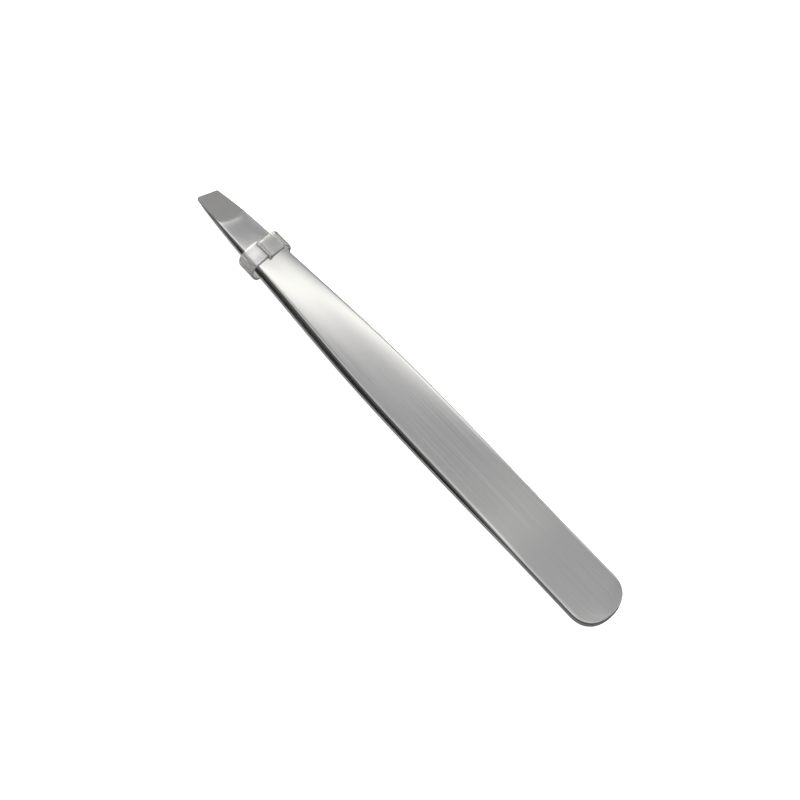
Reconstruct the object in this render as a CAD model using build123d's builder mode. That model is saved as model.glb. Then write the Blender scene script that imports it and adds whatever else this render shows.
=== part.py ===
"""Slant tweezers: two spring-steel arms welded at the tail, held shut by a clear plastic band.

Millimetres. +X runs from the tips to the tail, +Z is up, and the origin is at the middle of
the lowest point. Distances called "along" are measured from the foremost tip corner.
"""
import os
from math import cos, radians, sin

from build123d import *

# overall
LENGTH = 95.0
ARM_THICKNESS = 1.1

# outline of one arm seen from above, as (along, half width)
TIP_HALF_WIDTH = 1.72
TIP_SETBACK = 1.05
SIDE_POINTS = [(6.5, 2.26), (16.0, 2.72), (28.0, 3.4), (39.5, 4.03), (50.0, 4.32), (68.0, 4.46)]
TAIL_ROUND_START = 90.6
TAIL_SHOULDER = (93.25, 3.91)
TAIL_HALF_WIDTH = 4.58
SIDE_SLOPE = 0.1

# side view of one arm's outer face, as (along, height above the plane between the arms)
BOW_POINTS = [(0.0, 0.58), (6.9, 1.42), (13.0, 2.13), (20.0, 2.58), (30.0, 2.75), (44.0, 2.53)]
BOW_POINTS += [(58.0, 2.2), (70.0, 1.72)]
WELD_FRONT = 80.5
JAW_LENGTH = 4.2
TIP_CLEARANCE = 0.02
OUTER_SLOPE = 0.12
INNER_SLOPE = 0.11
WELD_SLOPE = -0.03

# ground facet on the outside of each tip
FACET_EDGE_THICKNESS = 0.2
FACET_ANGLE = 11.5

# where each arm flexes, and the welds
FLEX_ALONG = 68.0
WELD_ALONG = (84.5, 89.5)
WELD_DIAMETER = 3.0
WELD_THICKNESS = 0.5

# band: a flat strip of clear plastic round both arms, its ends lapped and bonded on top
BAND_FRONT = 13.2
BAND_WIDTH = 3.5
BAND_WALL = 0.35
BAND_FLAT_HALF_WIDTH = 2.8
BAND_BULGE = 0.92
BAND_INNER_FRONT = 2.23
BAND_INNER_REAR = 2.5
LAP_SIDES = (-0.6, 0.0)
LAP_THICKNESS = 0.25

TIP_X = -LENGTH / 2
MID_Z = BAND_INNER_REAR + BAND_WALL
BLANK_HALF_WIDTH = TAIL_HALF_WIDTH + 1
BLANK_HEIGHT = 4 * MID_Z
MID_PLANE = Plane.XY.offset(MID_Z)


def outline(points, side):
    """Points of the plan outline on one side, in the part's frame."""
    return [(TIP_X + along, side * half) for along, half in points]


def arm_blank():
    """The upper arm as one strip, before its tip is ground and before it is divided."""
    outer = [(TIP_X + along, MID_Z + height) for along, height in BOW_POINTS]
    outer_end = (TIP_X + WELD_FRONT, MID_Z + ARM_THICKNESS)
    inner = [(x, z - ARM_THICKNESS) for x, z in outer[1:]]
    inner_end = (TIP_X + WELD_FRONT, MID_Z)
    jaw_z = MID_Z + TIP_CLEARANCE
    jaw_end = (TIP_X + JAW_LENGTH, jaw_z)
    tail_x = TIP_X + LENGTH
    weld_slope = (1.0, WELD_SLOPE)
    with BuildPart() as blank:
        with BuildSketch(Plane.XZ):
            with BuildLine():
                Spline(*outer, outer_end, tangents=[(1.0, OUTER_SLOPE), weld_slope])
                Polyline(outer_end, (tail_x, MID_Z + ARM_THICKNESS), (tail_x, MID_Z), inner_end)
                Spline(jaw_end, *inner, inner_end, tangents=[(1.0, INNER_SLOPE), weld_slope])
                Polyline(jaw_end, (TIP_X, jaw_z), outer[0])
            make_face()
        extrude(amount=BLANK_HALF_WIDTH, both=True)
        with BuildSketch(Plane.XY):
            with BuildLine():
                near_tip = (TIP_X, -TIP_HALF_WIDTH)
                far_tip = (TIP_X + TIP_SETBACK, TIP_HALF_WIDTH)
                for side, tip in ((-1, near_tip), (1, far_tip)):
                    start = (TIP_X + TAIL_ROUND_START, side * TAIL_HALF_WIDTH)
                    shoulder = (TIP_X + TAIL_SHOULDER[0], side * TAIL_SHOULDER[1])
                    Spline(tip, *outline(SIDE_POINTS, side), start,
                           tangents=[(1.0, side * SIDE_SLOPE), (1.0, 0.0)])
                    Spline(start, shoulder, (tail_x, 0), tangents=[(1.0, 0.0), (0.0, -side)])
                Line(near_tip, far_tip)
            make_face()
        extrude(amount=BLANK_HEIGHT, mode=Mode.INTERSECT)
    return blank.part


def ground_arm():
    """The upper arm with the slanted facet ground on its tip and pockets for the welds."""
    slant = Vector(TIP_SETBACK, 2 * TIP_HALF_WIDTH, 0).normalized()
    tailward = Vector(slant.Y, -slant.X, 0)
    rise = tailward * cos(radians(FACET_ANGLE)) + Vector(0, 0, sin(radians(FACET_ANGLE)))
    corner = (TIP_X, -TIP_HALF_WIDTH, MID_Z + TIP_CLEARANCE + FACET_EDGE_THICKNESS)
    facet = Plane(origin=corner, x_dir=rise, z_dir=rise.cross(slant))
    with BuildPart() as arm:
        add(arm_blank())
        split(bisect_by=facet, keep=Keep.BOTTOM)
        with Locations(*weld_places()):
            Cylinder(WELD_DIAMETER / 2, WELD_THICKNESS, mode=Mode.SUBTRACT)
    return arm.part


def weld_places():
    return [(TIP_X + along, 0, MID_Z) for along in WELD_ALONG]


def section_plane(along):
    return Plane(origin=(TIP_X + along, 0, MID_Z), x_dir=(0, 1, 0), z_dir=(1, 0, 0))


def band_section(along, half_height, wall):
    """Section of a flat band round both arms, bulging at the sides, square to X."""
    flat = BAND_FLAT_HALF_WIDTH + wall / 2
    height = half_height + wall
    bulge = BAND_FLAT_HALF_WIDTH + BAND_BULGE + wall
    with BuildSketch(section_plane(along)) as section:
        with BuildLine():
            Line((-flat, height), (flat, height))
            ThreePointArc((flat, height), (bulge, 0), (flat, -height))
            Line((flat, -height), (-flat, -height))
            ThreePointArc((-flat, -height), (-bulge, 0), (-flat, height))
        make_face()
    return section.sketch


def lap_section(along, half_height):
    """Section of the upper layer where the band's ends lap."""
    low = half_height + BAND_WALL / 2
    high = half_height + BAND_WALL + LAP_THICKNESS
    left, right = LAP_SIDES
    with BuildSketch(section_plane(along)) as section:
        with BuildLine():
            Polyline((left, low), (right, low), (right, high), (left, high), close=True)
        make_face()
    return section.sketch


arm = ground_arm()
flex_plane = Plane.YZ.offset(TIP_X + FLEX_ALONG)

with BuildPart() as upper_arm_blade:
    add(arm)
    split(bisect_by=flex_plane, keep=Keep.BOTTOM)

with BuildPart() as upper_arm_tail:
    add(arm)
    split(bisect_by=flex_plane, keep=Keep.TOP)

with BuildPart() as lower_arm_blade:
    mirror(upper_arm_blade.part, about=MID_PLANE)

with BuildPart() as lower_arm_tail:
    mirror(upper_arm_tail.part, about=MID_PLANE)

with BuildPart() as spot_welds:
    with Locations(*weld_places()):
        Cylinder(WELD_DIAMETER / 2, WELD_THICKNESS)

band_ends = ((BAND_FRONT, BAND_INNER_FRONT), (BAND_FRONT + BAND_WIDTH, BAND_INNER_REAR))
with BuildPart() as tip_band:
    for wall, mode in ((BAND_WALL, Mode.ADD), (0.0, Mode.SUBTRACT)):
        loft([band_section(*end, wall) for end in band_ends], mode=mode)
    loft([lap_section(*end) for end in band_ends])

pieces = {
    "upper_arm_blade": upper_arm_blade,
    "upper_arm_tail": upper_arm_tail,
    "lower_arm_blade": lower_arm_blade,
    "lower_arm_tail": lower_arm_tail,
    "spot_welds": spot_welds,
    "tip_band": tip_band,
}

os.makedirs("parts", exist_ok=True)
for label, piece in pieces.items():
    piece.part.label = label
    export_step(piece.part, f"parts/{label}.step")
    box = piece.part.bounding_box()
    print(label, "volume", round(piece.part.volume, 2), "box", box.min, box.max)
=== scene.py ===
"""Looks of the slant tweezers: each arm one brushed-steel strip, and a clear plastic band near the tips.

Shapes are worked out in millimetres in the frame's own axes: +X from the tips to the tail, +Z up.
"Along" is the distance from the foremost tip corner, and a side is -1 for -Y and +1 for +Y.
"""
import math

import bmesh
import bpy
import numpy as np
from mathutils import Matrix, Vector


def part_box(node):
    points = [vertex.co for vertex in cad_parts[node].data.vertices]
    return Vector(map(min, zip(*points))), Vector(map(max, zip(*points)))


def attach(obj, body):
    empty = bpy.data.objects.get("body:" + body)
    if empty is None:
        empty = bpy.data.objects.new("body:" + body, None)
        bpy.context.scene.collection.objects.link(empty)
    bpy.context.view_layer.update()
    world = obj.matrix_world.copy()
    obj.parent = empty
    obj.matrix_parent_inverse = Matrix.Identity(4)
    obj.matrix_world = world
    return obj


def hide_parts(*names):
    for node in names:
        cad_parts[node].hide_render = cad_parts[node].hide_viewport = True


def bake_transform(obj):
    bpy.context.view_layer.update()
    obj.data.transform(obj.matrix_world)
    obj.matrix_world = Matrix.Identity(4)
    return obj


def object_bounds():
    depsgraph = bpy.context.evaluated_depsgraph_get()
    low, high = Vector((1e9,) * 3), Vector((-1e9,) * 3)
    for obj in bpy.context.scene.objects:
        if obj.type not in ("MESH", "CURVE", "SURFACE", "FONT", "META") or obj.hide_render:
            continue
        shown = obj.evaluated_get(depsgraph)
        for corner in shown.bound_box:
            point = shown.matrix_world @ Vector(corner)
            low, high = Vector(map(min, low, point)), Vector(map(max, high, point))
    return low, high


MM = 0.001
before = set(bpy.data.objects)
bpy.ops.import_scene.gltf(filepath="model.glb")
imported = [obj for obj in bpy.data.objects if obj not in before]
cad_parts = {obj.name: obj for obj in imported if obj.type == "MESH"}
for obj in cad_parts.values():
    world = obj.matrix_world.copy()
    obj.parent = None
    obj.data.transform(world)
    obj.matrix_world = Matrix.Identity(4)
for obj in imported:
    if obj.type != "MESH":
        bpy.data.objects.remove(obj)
cad_low, cad_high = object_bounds()

TIP_X = cad_low.x / MM
LENGTH = (cad_high.x - cad_low.x) / MM
MID_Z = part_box("upper_arm_tail")[0].z / MM
BAND_LOW, BAND_HIGH = (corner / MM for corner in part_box("tip_band"))
TAIL_HALF_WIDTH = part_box("upper_arm_tail")[1].y / MM

# the arm's outline and bow, as in the CAD model
ARM_THICKNESS = 1.1
OUTER_SLOPE = 0.12
SIDE_SLOPE = 0.1
TIP_HALF_WIDTH = 1.72
TIP_SETBACK = 1.05
SIDE_POINTS = [(6.5, 2.26), (16.0, 2.72), (28.0, 3.4), (39.5, 4.03), (50.0, 4.32), (68.0, 4.46)]
TAIL_ROUND_START = 90.6
TAIL_ROUND_POWER = 2.3
BOW_POINTS = [(0.0, 0.58), (6.9, 1.42), (13.0, 2.13), (20.0, 2.58), (30.0, 2.75), (44.0, 2.53)]
BOW_POINTS += [(58.0, 2.2), (70.0, 1.72)]
WELD_FRONT = 80.5
WELD_SLOPE = -0.03
WELD_BLEND = 4.0
TIP_CLEARANCE = 0.02

# the ground facet on each tip
FACET_EDGE_THICKNESS = 0.2
FACET_ANGLE = 10.1
FACET_SETBACK = 0.38

# how the outer face drops towards its edges; names in ALONG hold places along the arm and amounts there
CROWN_SHARE = 0.043
CROWN_POWER = 3
CROWN_ALONG = ([3.0, 14.0, 20.0, 33.0, 46.0, 58.0, 68.0], [0.2, 1.1, 1.1, 0.7, 0.42, 0.24, 0.1])
CROWN_LEFT = 0.5
ROLL_WIDTH = 0.36
ROLL = 0.12
ROLL_ALONG = ([30.0, 42.0], [0.0, 1.0])

# the lip left where the facet meets the outer face
LIP = 0.045
LIP_SPREAD = 0.035
LIP_ALONG = ([8.5, 17.0], [1.0, 0.0])

# the rounded outer edges, each side with its own amounts along the arm, and the small inner ones
EDGE_WIDTH = 0.26
EDGE_DROP = 0.3
EDGE_ALONG = {
    -1: ([86.0, 95.0], [1.0, 0.5]),
    1: ([12.0, 30.0, 76.0, 84.0], [0.45, 1.0, 1.0, 0.5]),
}
INNER_EDGE = 0.07
TIP_CORNER_RADIUS = 0.2

# how finely the arm's mesh is divided
ROWS_FACET = 14
ROWS_SLANT = 26
ROWS_SLANT_POWER = 1.15
ROWS_MIDDLE = 110
ROWS_TAIL = 26
SLANT_FADE = 26.0
EDGE_STEPS = 7
FACE_STEPS = 22
FACET_REACH = (2.0, 11.0)
BRUSH_STATION = 40.0
SHARP_ARM_ANGLE = 28
# edge columns below this share of the turn take the cut finish, darkened partly as painted shade
CUT_SHARE = 0.6

# places of the three finishes among an arm's materials; the cut finish on the sides is darker partly for
# its rough cut and partly as painted shade
POLISHED, GROUND, SHADED_CUT = range(3)


def smooth_curve(points, first_slope, last_slope):
    """The cubic spline through the points with the given end slopes, as a function."""
    x, y = np.array(points, float).T
    gap = np.diff(x)
    count = len(x)
    rows = np.zeros((count, count))
    target = np.zeros(count)
    rows[0, 0] = rows[-1, -1] = 1
    target[0], target[-1] = first_slope, last_slope
    for i in range(1, count - 1):
        before, after = gap[i - 1], gap[i]
        rows[i, i - 1 : i + 2] = 1 / before, 2 / before + 2 / after, 1 / after
        target[i] = 3 * ((y[i] - y[i - 1]) / before**2 + (y[i + 1] - y[i]) / after**2)
    slope = np.linalg.solve(rows, target)

    def curve(at):
        at = np.clip(at, x[0], x[-1])
        i = np.clip(np.searchsorted(x, at) - 1, 0, count - 2)
        t = (at - x[i]) / gap[i]
        start = (1 + 2 * t) * (1 - t) ** 2 * y[i] + t * (1 - t) ** 2 * gap[i] * slope[i]
        end = t * t * (3 - 2 * t) * y[i + 1] + t * t * (t - 1) * gap[i] * slope[i + 1]
        return start + end

    return curve


bow = smooth_curve(BOW_POINTS + [(WELD_FRONT, ARM_THICKNESS)], OUTER_SLOPE, WELD_SLOPE)
half_width = {
    side: smooth_curve([tip, *SIDE_POINTS, (TAIL_ROUND_START, TAIL_HALF_WIDTH)], SIDE_SLOPE, 0.0)
    for side, tip in ((-1, (0.0, TIP_HALF_WIDTH)), (1, (TIP_SETBACK, TIP_HALF_WIDTH)))
}


def outer_height(along):
    """Height of the arm's outer face above the plane between the arms, on its centre line."""
    height = np.where(along < WELD_FRONT, bow(along), ARM_THICKNESS)
    near = np.clip(WELD_BLEND - np.abs(along - WELD_FRONT), 0, None)
    return height - WELD_SLOPE * near**2 / (4 * WELD_BLEND)


def crowned_height(along, across):
    """Height of the unground outer face, which rolls off a little towards both edges."""
    half = (half_width[-1](along) + half_width[1](along)) / 2
    crown = CROWN_SHARE * np.interp(along, *CROWN_ALONG)
    side = np.where(across < 0, CROWN_LEFT, 1.0)
    drop = crown * side * half * np.abs(across / half) ** CROWN_POWER
    roll = ROLL * np.interp(along, *ROLL_ALONG)
    roll = roll * np.clip((-across - half + ROLL_WIDTH) / ROLL_WIDTH, 0, 1) ** 2 * ROLL_WIDTH
    height = outer_height(along) - drop - roll
    above = np.clip(facet_height(along, across) - height, 0, None)
    return height - LIP * np.interp(along, *LIP_ALONG) * (1 - np.exp(-above / LIP_SPREAD))


def facet_height(along, across):
    """Height of the ground facet's plane."""
    slant = np.array([FACET_SETBACK, 2 * TIP_HALF_WIDTH])
    slant /= np.linalg.norm(slant)
    behind_edge = along * slant[1] - (across + TIP_HALF_WIDTH) * slant[0]
    rise = math.tan(math.radians(FACET_ANGLE))
    return TIP_CLEARANCE + FACET_EDGE_THICKNESS + rise * behind_edge


def side_point(along, side, inset):
    """A point of the plan outline and the same point moved inwards, for stations before the tail."""
    setback = TIP_SETBACK if side > 0 else 0.0
    real = along + setback * np.clip(1 - along / SLANT_FADE, 0, 1) ** 2
    half = half_width[side](real)
    near = np.clip(TIP_CORNER_RADIUS - along, 0, None)
    half = half - (TIP_CORNER_RADIUS - np.sqrt(TIP_CORNER_RADIUS**2 - near**2))
    return real, side * (half - inset)


def tail_point(turn, side, inset):
    """The same round the tail's end; turn goes from 0 at its start to a right angle at the end."""
    depth = LENGTH - TAIL_ROUND_START
    a, b = np.sin(turn), np.cos(turn)
    share = 2 / TAIL_ROUND_POWER
    along, across = depth * a**share, TAIL_HALF_WIDTH * b**share
    normal = np.array([
        (along / depth) ** (TAIL_ROUND_POWER - 1) / depth,
        (across / TAIL_HALF_WIDTH) ** (TAIL_ROUND_POWER - 1) / TAIL_HALF_WIDTH,
    ])
    normal = normal / np.linalg.norm(normal, axis=0)
    return TAIL_ROUND_START + along - normal[0] * inset, side * (across - normal[1] * inset)


def section_columns():
    """Columns of one closed cross-section, as (face, side or place across, share of the edge turn)."""
    turns = np.linspace(0, 1, EDGE_STEPS + 1)
    places = np.linspace(1, -1, FACE_STEPS + 1)[1:-1]
    columns = [("inner", 1, None), ("wall_foot", 1, None), ("wall", 1, None)]
    columns += [("edge", 1, turn) for turn in turns]
    columns += [("face", place, None) for place in places]
    columns += [("edge", -1, turn) for turn in turns[::-1]]
    columns += [("wall", -1, None), ("wall_foot", -1, None), ("inner", -1, None)]
    columns += [("inner_face", place, None) for place in places[::-1]]
    return columns


def section_column(column, along, turn):
    """The points of one column of the upper arm at each station, as x, y and z arrays.

    turn is None before the rounded tail, and the angle round the tail's end on it.
    """
    kind, place, share = column

    def outline(side, inset):
        if turn is None:
            return side_point(along, side, inset)
        return tail_point(turn, side, inset)

    def outer(x, y, drop):
        return np.minimum(crowned_height(x, y) - drop, facet_height(x, y))

    def inner(x):
        return np.maximum(outer_height(x) - ARM_THICKNESS, TIP_CLEARANCE)

    station = along if turn is None else along + turn * (LENGTH - TAIL_ROUND_START)
    rounding = {side: np.interp(station, *EDGE_ALONG[side]) for side in (-1, 1)}

    if kind in ("face", "inner_face"):
        right, left = (
            outline(side, EDGE_WIDTH * rounding[side] if kind == "face" else INNER_EDGE)
            for side in (1, -1)
        )
        mix = (place + 1) / 2
        x = right[0] * mix + left[0] * (1 - mix)
        y = right[1] * mix + left[1] * (1 - mix)
        return x, y, outer(x, y, 0.0) if kind == "face" else inner(x)
    if kind == "edge":
        angle = share * math.pi / 2
        x, y = outline(place, EDGE_WIDTH * rounding[place] * (1 - math.cos(angle)))
        return x, y, outer(x, y, EDGE_DROP * rounding[place] * (1 - math.sin(angle)))
    x, y = outline(place, INNER_EDGE if kind == "inner" else 0.0)
    foot = inner(x) + INNER_EDGE * (kind != "inner")
    return x, y, foot if kind != "wall" else (foot + outer(x, y, EDGE_DROP * rounding[place])) / 2


def sections(along, turn=None):
    """Cross-sections as an array (row, column, axis); along holds each column's stations."""
    columns = section_columns()
    parts = [section_column(c, along[:, i], turn) for i, c in enumerate(columns)]
    return np.array([np.stack(np.broadcast_arrays(*part), axis=1) for part in parts]).swapaxes(0, 1)


def facet_end():
    """How far along each column the facet ends, by halving the interval."""
    columns = section_columns()
    low, high = (np.full(len(columns), place) for place in FACET_REACH)
    for _ in range(24):
        middle = (low + high) / 2
        x, y, z = sections(middle[None])[0].T
        on_facet = np.abs(z - facet_height(x, y)) < 1e-6
        low, high = np.where(on_facet, middle, low), np.where(on_facet, high, middle)
    ends = (low + high) / 2
    face = [kind == "face" for kind, _, _ in columns]
    other = [kind in ("inner", "wall_foot", "wall", "inner_face") for kind, _, _ in columns]
    ends[other] = ends[face].mean()
    return ends


def arm_rows():
    """All the cross-sections of the upper arm, with a row of points exactly where the facet ends."""
    ends = facet_end()[None]
    ground = np.linspace(0, 1, ROWS_FACET + 1)[:, None]
    slant = np.linspace(0, 1, ROWS_SLANT + 1)[1:, None] ** ROWS_SLANT_POWER
    middle = np.linspace(SLANT_FADE, TAIL_ROUND_START, ROWS_MIDDLE + 1)[1:, None]
    turn = np.linspace(0, math.pi / 2, ROWS_TAIL + 1)[1:]
    tail = np.full((ROWS_TAIL, 1), TAIL_ROUND_START)
    every = np.ones_like(ends)
    return np.concatenate([
        sections(ground * ends),
        sections(ends + slant * (SLANT_FADE - ends)),
        sections(middle * every),
        sections(tail * every, turn),
    ])


def lofted_mesh(name, rows, columns):
    """A closed tube of quads through the rows, with brushing coordinates in millimetres.

    columns says for each column where it lies round the arm and which finish its faces have.
    """
    mesh = bpy.data.meshes.new(name)
    work = bmesh.new()
    layer = work.loops.layers.uv.new("brush")
    grid = [[work.verts.new(Vector(point) * MM) for point in row] for row in rows]
    count = len(rows[0])
    for i in range(len(rows) - 1):
        for j in range(count):
            k = (j + 1) % count
            corners = [(i, j), (i, k), (i + 1, k), (i + 1, j)]
            face = work.faces.new([grid[a][b] for a, b in corners])
            on_facet = i < ROWS_FACET and columns["ground"][j]
            face.material_index = GROUND if on_facet else columns["finish"][j]
            for loop, (a, b), column in zip(face.loops, corners, (j, j + 1, j + 1, j)):
                loop[layer].uv = (rows[a][b][0], columns["across"][column])
    cap = work.faces.new(grid[0][::-1])
    cap.material_index = GROUND
    for loop in cap.loops:
        loop[layer].uv = (loop.vert.co.y / MM, loop.vert.co.z / MM)
    bmesh.ops.remove_doubles(work, verts=work.verts, dist=2e-7)
    bmesh.ops.dissolve_degenerate(work, edges=work.edges, dist=1e-7)
    bmesh.ops.recalc_face_normals(work, faces=work.faces)
    work.to_mesh(mesh)
    work.free()
    return mesh


def across_lengths(row):
    """Distance round a cross-section at each of its columns, and on to the first column again."""
    steps = np.linalg.norm(np.diff(np.vstack([row, row[:1]])[:, 1:], axis=0), axis=1)
    return np.concatenate([[0.0], np.cumsum(steps)])


def smooth_object(name, mesh, sharp_angle):
    """An object shaded smooth, apart from the edges that turn more than the angle, in degrees."""
    for polygon in mesh.polygons:
        polygon.use_smooth = True
    mesh.set_sharp_from_angle(angle=math.radians(sharp_angle))
    piece = bpy.data.objects.new(name, mesh)
    bpy.context.scene.collection.objects.link(piece)
    return piece


def arm(name, flipped):
    """One arm as a single strip; the lower arm is the upper one turned into its mirror image."""
    rows = arm_rows()
    columns = section_columns()
    middle = sections(np.full((1, len(columns)), BRUSH_STATION))[0]
    ground = [kind in ("edge", "face") for kind, _, _ in columns]
    # the walls and the lower part of each rounded edge take the cut finish, whose darker tone is partly
    # painted shade
    low = [
        kind in ("wall", "wall_foot") or kind == "edge" and share < CUT_SHARE
        for kind, _, share in columns
    ]
    finish = [SHADED_CUT if here and after else POLISHED for here, after in zip(low, low[1:] + low[:1])]
    faces = {"across": across_lengths(middle), "ground": ground, "finish": finish}
    placed = rows * (1, 1, -1 if flipped else 1) + (TIP_X, 0, MID_Z)
    mesh = lofted_mesh(name, placed, faces)
    return smooth_object(name, mesh, SHARP_ARM_ANGLE)


# ------------------------------------------------------------------ the clear band

# the strip winds back by BAND_SHIFT from its lower end to its upper one
BAND_WIDTH = 3.4
BAND_WALL = 0.33
BAND_GAP = 0.12
BAND_CORNER = 0.12
BAND_FRONT = BAND_LOW.x - 0.15
BAND_REAR = BAND_HIGH.x + 0.1
BAND_SHIFT = 0.46
BAND_STATION = 15.0
SHARP_BAND_ANGLE = 40

# the lapped ends, by their places across the top
LOWER_END = -0.02
UPPER_END = -0.45
LAP_LIFT = 0.27
LAP_LIFT_START = 0.2
LAP_TAPER = 0.34
LAP_THINNING = 0.85
TOP_SHARE = 0.99

# half the band's round from top to bottom, as (across, share of its half height)
BAND_ROUND = [(2.72, 0.94), (3.28, 0.78), (3.72, 0.42), (3.86, 0.0), (3.72, -0.42), (3.28, -0.78)]
BAND_ROUND += [(2.72, -0.94)]
BAND_HALF_HEIGHT = 2.6
BAND_STEP = 0.06
BAND_SOFTENING = 2


def band_path():
    """The middle line of the band's wall, from the lower end of the lap round to its upper end."""
    left = [(-across, share) for across, share in BAND_ROUND]
    corners = [(LOWER_END, 1.0), *left, *BAND_ROUND[::-1], (LAP_LIFT_START, 1.0), (UPPER_END, 1.0)]
    line = []
    for (y0, s0), (y1, s1) in zip(corners, corners[1:]):
        steps = max(2, round(math.hypot(y1 - y0, BAND_HALF_HEIGHT * (s1 - s0)) / BAND_STEP))
        line += [(y0 + (y1 - y0) * i / steps, s0 + (s1 - s0) * i / steps) for i in range(steps)]
    line = np.array(line + [corners[-1]])
    for _ in range(BAND_SOFTENING):
        line[1:-1] = (line[:-2] + 2 * line[1:-1] + line[2:]) / 4
    return line


def band_profile():
    """The strip's own section with rounded corners, as (along the arms, out from the wall's middle)."""
    profile = []
    for quarter, (front, out) in enumerate(((-1, -1), (1, -1), (1, 1), (-1, 1))):
        for turn in (0, 30, 60, 90):
            angle = math.radians(180 + 90 * quarter + turn)
            profile.append((
                front * (BAND_WIDTH / 2 - BAND_CORNER) + BAND_CORNER * math.cos(angle),
                out * (BAND_WALL / 2 - BAND_CORNER) + BAND_CORNER * math.sin(angle),
            ))
    return profile


def lap_lift(across, share):
    """How far the lap's upper layer is lifted over the lower one; it sinks again at its end."""
    if share <= TOP_SHARE:
        return 0.0
    rise = min(1.0, max(0.0, (LAP_LIFT_START - across) / (LAP_LIFT_START - LOWER_END)))
    taper = min(1.0, max(0.0, (UPPER_END + LAP_TAPER - across) / LAP_TAPER))
    return LAP_LIFT * rise * rise * (3 - 2 * rise) * (1 - LAP_THINNING * taper * taper)


def wall_height(along):
    """Height of the middle of the band's flat wall above the plane between the arms."""
    return float(outer_height(along)) + BAND_GAP + BAND_WALL / 2


def band_rows():
    """The strip's sections along its path: the wall follows the arms' slope, and the ends lap on top."""
    path = band_path()
    last = len(path) - 1
    height = wall_height(BAND_STATION)
    rows = []
    for i, (across, share) in enumerate(path):
        tangent = (path[min(i + 1, last)] - path[max(i - 1, 0)]) * (1, height)
        outward = np.array([-tangent[1], tangent[0]]) / np.linalg.norm(tangent)
        if outward @ (across, share * height) < 0:
            outward = -outward
        lift = lap_lift(across, share) if i > len(path) / 2 else 0.0
        row = []
        for forward, out in band_profile():
            x = min(BAND_FRONT + BAND_WIDTH / 2 + forward + BAND_SHIFT * i / last, BAND_REAR)
            z = share * wall_height(x - TIP_X) + outward[1] * out + lift
            row.append((x, across + outward[0] * out, MID_Z + z))
        rows.append(row)
    return rows


def band():
    """The flat band as one closed strip."""
    work = bmesh.new()
    grid = [[work.verts.new(Vector(point) * MM) for point in row] for row in band_rows()]
    count = len(grid[0])
    for here, there in zip(grid, grid[1:]):
        for j in range(count):
            k = (j + 1) % count
            work.faces.new([here[j], here[k], there[k], there[j]])
    work.faces.new(grid[0][::-1])
    work.faces.new(grid[-1])
    bmesh.ops.recalc_face_normals(work, faces=work.faces)
    mesh = bpy.data.meshes.new("clear_band")
    work.to_mesh(mesh)
    work.free()
    return smooth_object("clear_band", mesh, SHARP_BAND_ANGLE)


# ------------------------------------------------------------------ materials

ROUGHNESS_SPREAD = 0.03
LINES_DEPTH = 0.00002
NOISE_RANGE = (0.3, 0.7)

# the clear plastic: tones of its flat layers, lighter towards -Y as painted light, and of its folded
# sides, darker as painted shade; each from dark to light
FLAT_PAINTED_LIGHT_TONES = (0.60, 0.60, 0.58), (0.97, 0.955, 0.945)
SIDE_SHADE_AND_MARK_TONES = (0.40, 0.40, 0.385), (0.52, 0.515, 0.50)
# across which the flat layers go from painted shade at +Y to painted light at -Y, in metres
FLAT_PAINTED_LIGHT_FADE = (0.0012, -0.0012)
# the range of upward facing over which the sides' painted shade gives way to the flat tones
PAINTED_SHADE_FACING = (0.75, 0.97)


def new_material(name):
    material = bpy.data.materials.new(name)
    material.use_nodes = True
    nodes = material.node_tree.nodes
    return material, nodes, material.node_tree.links, nodes["Principled BSDF"]


def noise(nodes, links, coordinates, scale, detail=2.0, roughness=0.5):
    """The grey value of a noise pattern at the coordinates."""
    node = nodes.new("ShaderNodeTexNoise")
    node.inputs["Scale"].default_value = scale
    node.inputs["Detail"].default_value = detail
    node.inputs["Roughness"].default_value = roughness
    links.new(coordinates, node.inputs["Vector"])
    return node.outputs["Fac"]


def remapped(nodes, links, value, source, target=(0.0, 1.0)):
    """The value moved from the source range to the target range, and clamped to it."""
    node = nodes.new("ShaderNodeMapRange")
    node.inputs["From Min"].default_value, node.inputs["From Max"].default_value = source
    node.inputs["To Min"].default_value, node.inputs["To Max"].default_value = target
    links.new(value, node.inputs["Value"])
    return node.outputs["Result"]


def mixed_colour(nodes, links, low, high, share):
    """The colour between two, each a fixed colour or another node's output."""
    node = nodes.new("ShaderNodeMix")
    node.data_type = "RGBA"
    for name, colour in (("A", low), ("B", high)):
        if isinstance(colour, bpy.types.NodeSocket):
            links.new(colour, node.inputs[name])
        else:
            node.inputs[name].default_value = (*colour, 1)
    links.new(share, node.inputs["Factor"])
    return node.outputs["Result"]


def relief(nodes, links, height, strength, depth):
    """The surface normal bent by the height pattern."""
    node = nodes.new("ShaderNodeBump")
    node.inputs["Strength"].default_value = strength
    node.inputs["Distance"].default_value = depth
    links.new(height, node.inputs["Height"])
    return node.outputs["Normal"]


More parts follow.
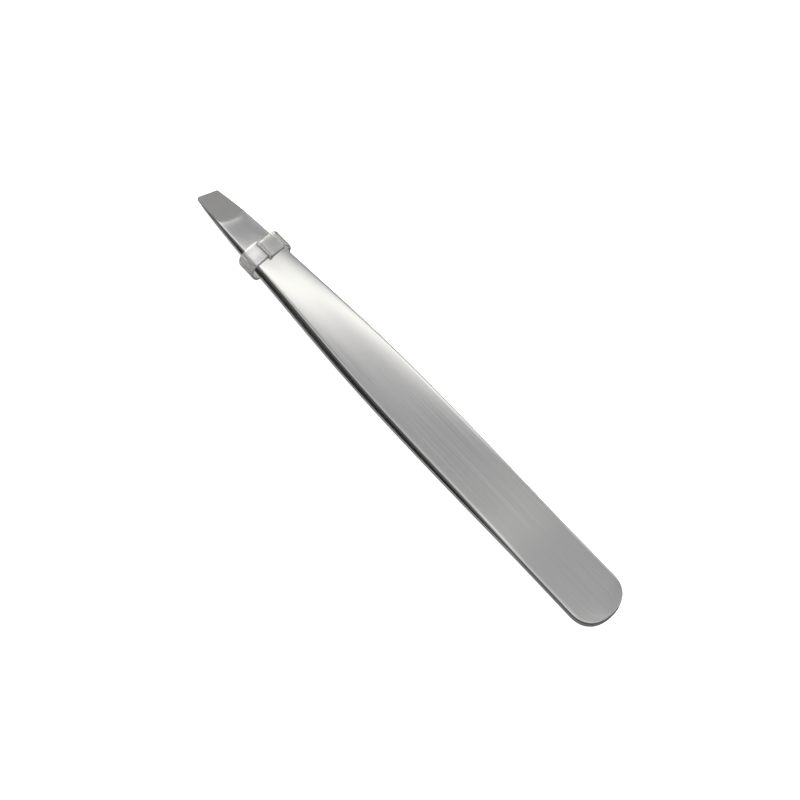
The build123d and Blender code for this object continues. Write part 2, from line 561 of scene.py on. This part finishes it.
def brushed_steel(name, tone, roughness, line_scale, contrast, bump, anisotropy):
    """Stainless steel with fine lines along the arm: colour, roughness and bump follow the lines."""
    material, nodes, links, shader = new_material(name)
    place = nodes.new("ShaderNodeUVMap")
    place.uv_map = "brush"
    stretch = nodes.new("ShaderNodeMapping")
    stretch.inputs["Scale"].default_value = (*line_scale, 1)
    links.new(place.outputs["UV"], stretch.inputs["Vector"])
    lines = noise(nodes, links, stretch.outputs["Vector"], scale=1.0, detail=5.0, roughness=0.6)

    dark = [share * (1 - contrast) for share in tone]
    light = [share * (1 + contrast) for share in tone]
    colour = mixed_colour(nodes, links, dark, light, remapped(nodes, links, lines, NOISE_RANGE))
    rough_range = (roughness - ROUGHNESS_SPREAD, roughness + ROUGHNESS_SPREAD)
    links.new(colour, shader.inputs["Base Color"])
    links.new(remapped(nodes, links, lines, NOISE_RANGE, rough_range), shader.inputs["Roughness"])
    links.new(relief(nodes, links, lines, bump, LINES_DEPTH), shader.inputs["Normal"])
    shader.inputs["Metallic"].default_value = 1.0
    shader.inputs["Anisotropic"].default_value = anisotropy
    shader.inputs["Anisotropic Rotation"].default_value = 0.25
    tangent = nodes.new("ShaderNodeTangent")
    tangent.direction_type = "UV_MAP"
    tangent.uv_map = "brush"
    links.new(tangent.outputs["Tangent"], shader.inputs["Tangent"])
    return material


def clear_plastic():
    """Soft clear plastic: the flat layers lighter towards -Y as painted light, the sideways-facing folds
    darker as painted shade, with faint flow marks.
    """
    material, nodes, links, shader = new_material("clear_band")
    place = nodes.new("ShaderNodeTexCoord")
    marks = noise(nodes, links, place.outputs["Object"], scale=900, detail=3.0)
    links.new(relief(nodes, links, marks, 0.12, 0.0001), shader.inputs["Normal"])

    def part(vector, axis):
        node = nodes.new("ShaderNodeSeparateXYZ")
        links.new(vector, node.inputs["Vector"])
        return node.outputs[axis]

    upright = nodes.new("ShaderNodeMath")
    upright.operation = "ABSOLUTE"
    links.new(part(place.outputs["Normal"], "Z"), upright.inputs[0])
    # painted light: the flat layers lighter towards -Y
    painted_light_fade = remapped(nodes, links, part(place.outputs["Object"], "Y"), FLAT_PAINTED_LIGHT_FADE)
    flat = mixed_colour(nodes, links, *FLAT_PAINTED_LIGHT_TONES, painted_light_fade)
    # painted shade on the folded sides, varied by the flow marks
    side = mixed_colour(nodes, links, *SIDE_SHADE_AND_MARK_TONES, marks)
    # the painted shade takes over where the surface faces sideways rather than up
    facing = remapped(nodes, links, upright.outputs[0], PAINTED_SHADE_FACING)
    links.new(mixed_colour(nodes, links, side, flat, facing), shader.inputs["Base Color"])
    shader.inputs["Roughness"].default_value = 0.14
    shader.inputs["IOR"].default_value = 1.5
    shader.inputs["Transmission Weight"].default_value = 0.75
    return material


def weld_metal():
    """Dull fused steel of the spot welds."""
    material, nodes, links, shader = new_material("weld_metal")
    place = nodes.new("ShaderNodeTexCoord")
    grain = noise(nodes, links, place.outputs["Object"], scale=1500)
    colour = mixed_colour(nodes, links, (0.30, 0.30, 0.31), (0.46, 0.45, 0.44), grain)
    links.new(colour, shader.inputs["Base Color"])
    shader.inputs["Metallic"].default_value = 1.0
    shader.inputs["Roughness"].default_value = 0.55
    return material


# ------------------------------------------------------------------ the object

polished = brushed_steel(
    "brushed_steel", (0.70, 0.70, 0.695), roughness=0.155, line_scale=(0.03, 9.0),
    contrast=0.035, bump=0.022, anisotropy=0.8,
)
ground = brushed_steel(
    "ground_steel", (0.50, 0.497, 0.488), roughness=0.34, line_scale=(0.6, 3.5),
    contrast=0.06, bump=0.08, anisotropy=0.0,
)
# steel of the cut sides: its dark tone is partly the rough cut finish and partly painted shade on the
# arms' sides
shaded_cut_edge = brushed_steel(
    "cut_edge_steel", (0.38, 0.38, 0.37), roughness=0.36, line_scale=(0.5, 6.0),
    contrast=0.15, bump=0.1, anisotropy=0.0,
)

# the order of the finishes is the one that POLISHED, GROUND and SHADED_CUT name
upper_arm = arm("upper_arm", flipped=False)
lower_arm = arm("lower_arm", flipped=True)
for piece in (upper_arm, lower_arm):
    for material in (polished, ground, shaded_cut_edge):
        piece.data.materials.append(material)
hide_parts("upper_arm_blade", "upper_arm_tail")
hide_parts("lower_arm_blade", "lower_arm_tail")
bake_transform(upper_arm)
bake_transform(lower_arm)

clear_band = band()
clear_band.data.materials.append(clear_plastic())
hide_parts("tip_band")
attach(clear_band, "band")

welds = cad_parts["spot_welds"]
welds.data.materials.clear()
welds.data.materials.append(weld_metal())

# ------------------------------------------------------------------ floor, light and camera

FLOOR_SIZE = 3.0
WALL_HEIGHT = 2.0
paper, _, _, paper_shader = new_material("paper")
paper_shader.inputs["Base Color"].default_value = (0.93, 0.93, 0.93, 1)
paper_shader.inputs["Roughness"].default_value = 0.9
paper_shader.inputs["Emission Color"].default_value = (1, 1, 1, 1)
paper_shader.inputs["Emission Strength"].default_value = 0.8


def paper_sheet(name, points, faces):
    """A sheet of white paper on the stage, kept out of the steel's reflections."""
    mesh = bpy.data.meshes.new(name)
    mesh.from_pydata(points, [], faces)
    mesh.materials.append(paper)
    sheet = bpy.data.objects.new(name, mesh)
    sheet.visible_glossy = False
    bpy.context.scene.collection.objects.link(sheet)
    return sheet


corners = [(x * FLOOR_SIZE, y * FLOOR_SIZE) for x, y in ((-1, -1), (1, -1), (1, 1), (-1, 1))]
paper_sheet("floor", [(*corner, 0) for corner in corners], [(0, 1, 2, 3)])

# four walls that only the camera sees, so that a low view has no horizon
walls = paper_sheet(
    "backdrop",
    [(*corner, z) for z in (0, WALL_HEIGHT) for corner in corners],
    [(i, (i + 1) % 4, (i + 1) % 4 + 4, i + 4) for i in range(4)],
)
walls.visible_diffuse = False
walls.visible_shadow = False
walls.visible_transmission = False

# brightness and tint of the studio, by the angle from overhead towards +X, in degrees
COOL, PLAIN, WARM, ROSY = (0.965, 0.995, 1.06), (1.0, 1.0, 1.0), (1.0, 1.0, 0.95), (1.03, 0.99, 0.98)
STUDIO = [
    (-90, 0.16, PLAIN), (-72, 0.85, PLAIN), (-54, 0.34, PLAIN), (-43.5, 0.36, PLAIN),
    (-41, 1.00, PLAIN), (-38.5, 0.30, COOL), (-35.5, 0.26, COOL), (-33, 0.48, PLAIN),
    (-30.5, 0.66, PLAIN), (-27.5, 0.94, ROSY), (-24.5, 1.22, WARM), (-22, 1.72, WARM),
    (-18.8, 1.76, WARM), (-17.2, 1.15, ROSY), (-16, 0.98, ROSY), (-14.5, 0.80, PLAIN),
    (-13.4, 0.54, COOL), (-12.7, 0.30, COOL), (-11.8, 0.15, COOL), (-10.7, 0.24, COOL),
    (-9, 0.37, PLAIN), (-7, 0.49, PLAIN), (-5, 0.50, PLAIN), (-1.5, 0.40, PLAIN),
    (3, 0.80, PLAIN), (9, 1.70, PLAIN), (14, 0.80, PLAIN), (18, 0.30, PLAIN),
    (38, 0.22, PLAIN), (72, 0.85, PLAIN), (90, 0.16, PLAIN),
]
BRIGHTEST = 2.0
STUDIO_SLANT = -0.7
STUDIO_OFFSET = 0.17


def studio_world():
    """A plain studio: a wide soft light leaning over the tips, greyer overhead, bright low down."""
    world = bpy.data.worlds.new("studio")
    bpy.context.scene.world = world
    world.use_nodes = True
    nodes, links = world.node_tree.nodes, world.node_tree.links
    place = nodes.new("ShaderNodeTexCoord")
    parts = nodes.new("ShaderNodeSeparateXYZ")
    links.new(place.outputs["Generated"], parts.inputs["Vector"])

    def math_node(operation, first, second):
        node = nodes.new("ShaderNodeMath")
        node.operation = operation
        for socket, value in zip(node.inputs, (first, second)):
            if isinstance(value, (int, float)):
                socket.default_value = value
            else:
                links.new(value, socket)
        return node.outputs[0]

    shifted = math_node("MULTIPLY_ADD", parts.outputs["Y"], STUDIO_SLANT)
    links.new(parts.outputs["X"], shifted.node.inputs[2])
    offset = math_node("ADD", shifted, STUDIO_OFFSET)
    angle = math_node("ARCTAN2", offset, parts.outputs["Z"])
    turned = math_node("DIVIDE", angle, math.pi)
    place_on_ramp = math_node("ADD", turned, 0.5)
    ramp = nodes.new("ShaderNodeValToRGB")
    links.new(place_on_ramp, ramp.inputs["Fac"])
    stops = ramp.color_ramp.elements
    while len(stops) > 1:
        stops.remove(stops[-1])
    for i, (degrees, level, tint) in enumerate(STUDIO):
        at = degrees / 180 + 0.5
        stop = stops[0] if i == 0 else stops.new(at)
        stop.position = at
        stop.color = (*(level * share / BRIGHTEST for share in tint), 1)
    background = nodes["Background"]
    background.inputs["Strength"].default_value = BRIGHTEST
    links.new(ramp.outputs["Color"], background.inputs["Color"])


studio_world()


def soft_light(name, place, size, power):
    """A square soft light at place, in metres, facing the object and kept out of its reflections."""
    data = bpy.data.lights.new(name, "AREA")
    data.shape = "RECTANGLE"
    data.size = data.size_y = size
    data.energy = power
    light = bpy.data.objects.new(name, data)
    light.location = place
    light.rotation_euler = (-Vector(place)).to_track_quat("-Z", "Y").to_euler()
    light.visible_glossy = False
    bpy.context.scene.collection.objects.link(light)


soft_light("key", place=(0.12, 0.25, 0.7), size=0.5, power=7.0)

# the camera, placed by angle and distance from a point on the object's middle plane
CAMERA_AZIMUTH, CAMERA_ELEVATION, CAMERA_ROLL = 48.096, 70.166, -0.150
CAMERA_DISTANCE = 328.9
CAMERA_TARGET = (0.357, -0.478)
CAMERA_FIELD = 21.567
CAMERA_CLIP = (0.01, 10)


def add_camera():
    """The camera, with its distance and target in millimetres and its angles in degrees."""
    azimuth, elevation = math.radians(CAMERA_AZIMUTH), math.radians(CAMERA_ELEVATION)
    flat = math.cos(elevation)
    back = Vector((math.sin(azimuth) * flat, -math.cos(azimuth) * flat, math.sin(elevation)))
    right = Vector((math.cos(azimuth), math.sin(azimuth), 0))
    up = back.cross(right)
    turn = Matrix.Rotation(math.radians(CAMERA_ROLL), 3, back)
    right, up = turn @ right, turn @ up
    data = bpy.data.cameras.new("camera")
    data.angle = math.radians(CAMERA_FIELD)
    data.clip_start, data.clip_end = CAMERA_CLIP
    camera = bpy.data.objects.new("camera", data)
    target = Vector((*CAMERA_TARGET, MID_Z))
    camera.matrix_world = Matrix.Translation((target + back * CAMERA_DISTANCE) * MM) @ Matrix(
        (right, up, back)
    ).transposed().to_4x4()
    bpy.context.scene.collection.objects.link(camera)
    bpy.context.scene.camera = camera


add_camera()
bpy.context.scene.view_settings.view_transform = "Standard"
